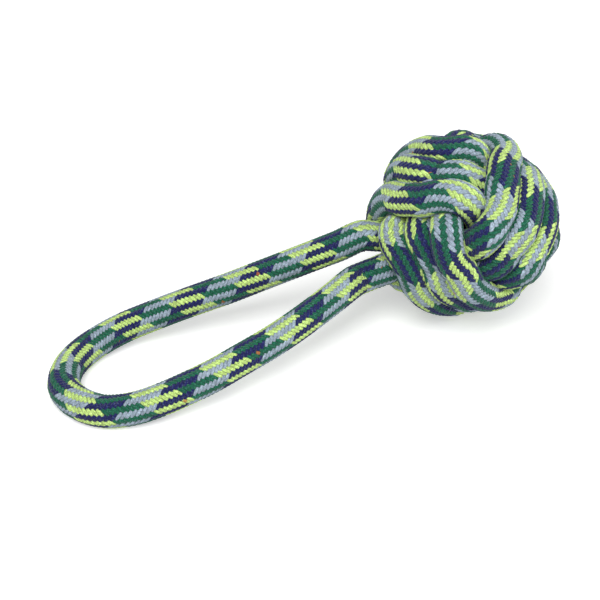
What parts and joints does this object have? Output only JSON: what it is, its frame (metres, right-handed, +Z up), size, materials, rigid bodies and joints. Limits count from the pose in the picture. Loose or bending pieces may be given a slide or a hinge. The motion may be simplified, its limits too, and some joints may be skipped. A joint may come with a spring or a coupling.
{
  "type": "rope dog toy",
  "caption": "Braided rope tug toy: a ball knot of wound rope with a long teardrop rope handle.",
  "frame": {"origin": "on the surface the toy rests on, under the middle of its bounding box", "axes": "+X from the bend of the handle loop to the ball knot, +Z up from the surface the toy lies on, +Y across the loop"},
  "size_m": [0.2702, 0.0964, 0.0964],
  "materials": {
    "braided_rope": "matte",
    "core_rubber": "matte",
    "binding_thread": "matte"
  },
  "bodies": {
    "root": {"core_ball": "core_rubber", "handle_loop": "braided_rope", "first_turns": "braided_rope", "second_turns": "braided_rope", "third_turns": "braided_rope", "handle_end_binding": "binding_thread", "tail_binding": "binding_thread"}
  },
  "joints": []
}
